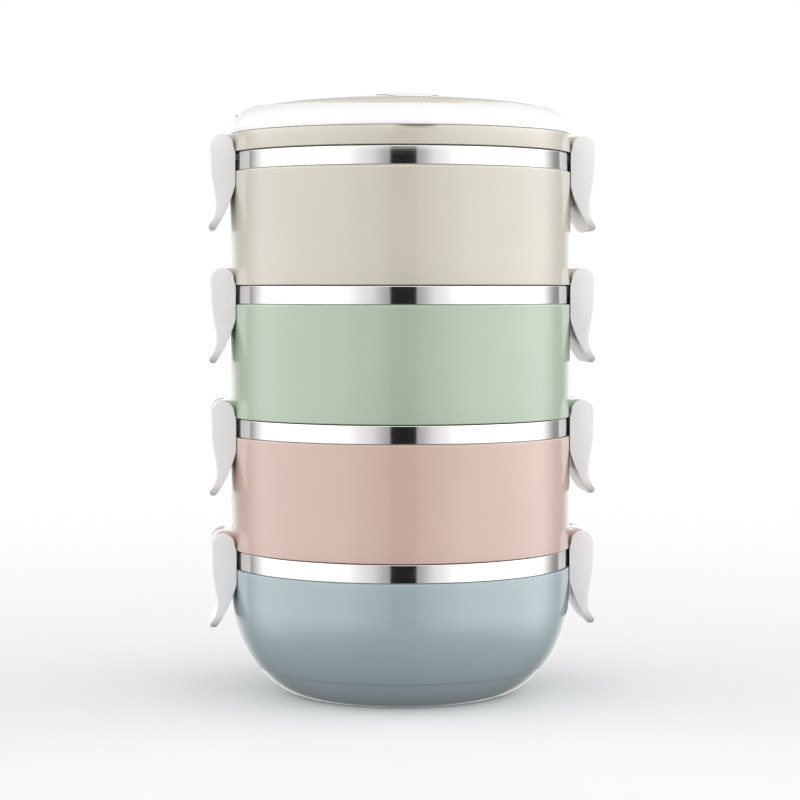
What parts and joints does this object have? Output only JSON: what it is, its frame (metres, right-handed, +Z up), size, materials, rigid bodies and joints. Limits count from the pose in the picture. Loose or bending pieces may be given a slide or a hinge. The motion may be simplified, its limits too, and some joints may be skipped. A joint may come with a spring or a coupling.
{
  "type": "tiffin carrier",
  "caption": "Round stacking food carrier: steel-lined bowl and tiers in coloured plastic shells, domed lid with fold-down bail handle, flip latches at each seam.",
  "frame": {"origin": "centre of the bottom bowl's flat foot, on the surface it stands on", "axes": "+Z up through the stack; the latches are on +X and -X; the folded handle's grip and the thumb notch face -Y"},
  "size_m": [0.1634, 0.145, 0.2535],
  "materials": {
    "beige_plastic": "glossy moulded PP, warm beige",
    "green_plastic": "glossy moulded PP, pale green",
    "pink_plastic": "glossy moulded PP, dusty pink",
    "blue_plastic": "glossy moulded PP, pale blue",
    "white_plastic": "satin-gloss white moulded PP",
    "lid_inner_plastic": "white moulded PP, fine satin",
    "polished_steel": "pressed stainless sheet, mirror polished",
    "pin_steel": "drawn stainless wire",
    "silicone": "translucent grey food-grade silicone",
    "vent_silicone": "white silicone"
  },
  "bodies": {
    "bowl": {"bowl_shell": "blue_plastic", "bowl_liner": "polished_steel"},
    "pink_tier": {"shell_pink": "pink_plastic", "liner_pink": "polished_steel", "seal_pink": "silicone", "latch_pins_pink": "pin_steel"},
    "green_tier": {"shell_green": "green_plastic", "liner_green": "polished_steel", "seal_green": "silicone", "latch_pins_green": "pin_steel"},
    "beige_tier": {"shell_beige": "beige_plastic", "liner_beige": "polished_steel", "seal_beige": "silicone", "latch_pins_beige": "pin_steel"},
    "lid": {"lid_shell": "beige_plastic", "lid_inner_plate": "lid_inner_plastic", "lid_seal": "silicone", "handle_pins": "pin_steel", "latch_pins_lid": "pin_steel"},
    "handle": {"carry_handle": "white_plastic"},
    "vent": {"vent_plug": "vent_silicone"},
    "pink_left_latch": {"latch_pink_left": "white_plastic"},
    "pink_right_latch": {"latch_pink_right": "white_plastic"},
    "green_left_latch": {"latch_green_left": "white_plastic"},
    "green_right_latch": {"latch_green_right": "white_plastic"},
    "beige_left_latch": {"latch_beige_left": "white_plastic"},
    "beige_right_latch": {"latch_beige_right": "white_plastic"},
    "lid_left_latch": {"latch_lid_left": "white_plastic"},
    "lid_right_latch": {"latch_lid_right": "white_plastic"}
  },
  "joints": [
    {"name": "pink_tier_lift", "type": "slide", "parent": "bowl", "child": "pink_tier", "axis": [0, 0, 1], "range_m": [0, 0.045]},
    {"name": "green_tier_lift", "type": "slide", "parent": "pink_tier", "child": "green_tier", "axis": [0, 0, 1], "range_m": [0, 0.045]},
    {"name": "beige_tier_lift", "type": "slide", "parent": "green_tier", "child": "beige_tier", "axis": [0, 0, 1], "range_m": [0, 0.045]},
    {"name": "lid_lift", "type": "slide", "parent": "beige_tier", "child": "lid", "axis": [0, 0, 1], "range_m": [0, 0.045]},
    {"name": "handle_swing", "type": "hinge", "parent": "lid", "child": "handle", "pos_m": [0, 0, 0.24347], "axis": [-1, 0, 0], "range_deg": [0, 100]},
    {"name": "vent_pull", "type": "slide", "parent": "lid", "child": "vent", "axis": [0, 0, 1], "range_m": [0, 0.008]},
    {"name": "pink_left_latch_hinge", "type": "hinge", "parent": "pink_tier", "child": "pink_left_latch", "pos_m": [-0.0761, 0, 0.0645], "axis": [0, 1, 0], "range_deg": [0, 110]},
    {"name": "pink_right_latch_hinge", "type": "hinge", "parent": "pink_tier", "child": "pink_right_latch", "pos_m": [0.0761, 0, 0.0645], "axis": [0, -1, 0], "range_deg": [0, 110]},
    {"name": "green_left_latch_hinge", "type": "hinge", "parent": "green_tier", "child": "green_left_latch", "pos_m": [-0.0761, 0, 0.12025], "axis": [0, 1, 0], "range_deg": [0, 110]},
    {"name": "green_right_latch_hinge", "type": "hinge", "parent": "green_tier", "child": "green_right_latch", "pos_m": [0.0761, 0, 0.12025], "axis": [0, -1, 0], "range_deg": [0, 110]},
    {"name": "beige_left_latch_hinge", "type": "hinge", "parent": "beige_tier", "child": "beige_left_latch", "pos_m": [-0.0761, 0, 0.176], "axis": [0, 1, 0], "range_deg": [0, 110]},
    {"name": "beige_right_latch_hinge", "type": "hinge", "parent": "beige_tier", "child": "beige_right_latch", "pos_m": [0.0761, 0, 0.176], "axis": [0, -1, 0], "range_deg": [0, 110]},
    {"name": "lid_left_latch_hinge", "type": "hinge", "parent": "lid", "child": "lid_left_latch", "pos_m": [-0.0761, 0, 0.23175], "axis": [0, 1, 0], "range_deg": [0, 110]},
    {"name": "lid_right_latch_hinge", "type": "hinge", "parent": "lid", "child": "lid_right_latch", "pos_m": [0.0761, 0, 0.23175], "axis": [0, -1, 0], "range_deg": [0, 110]}
  ]
}
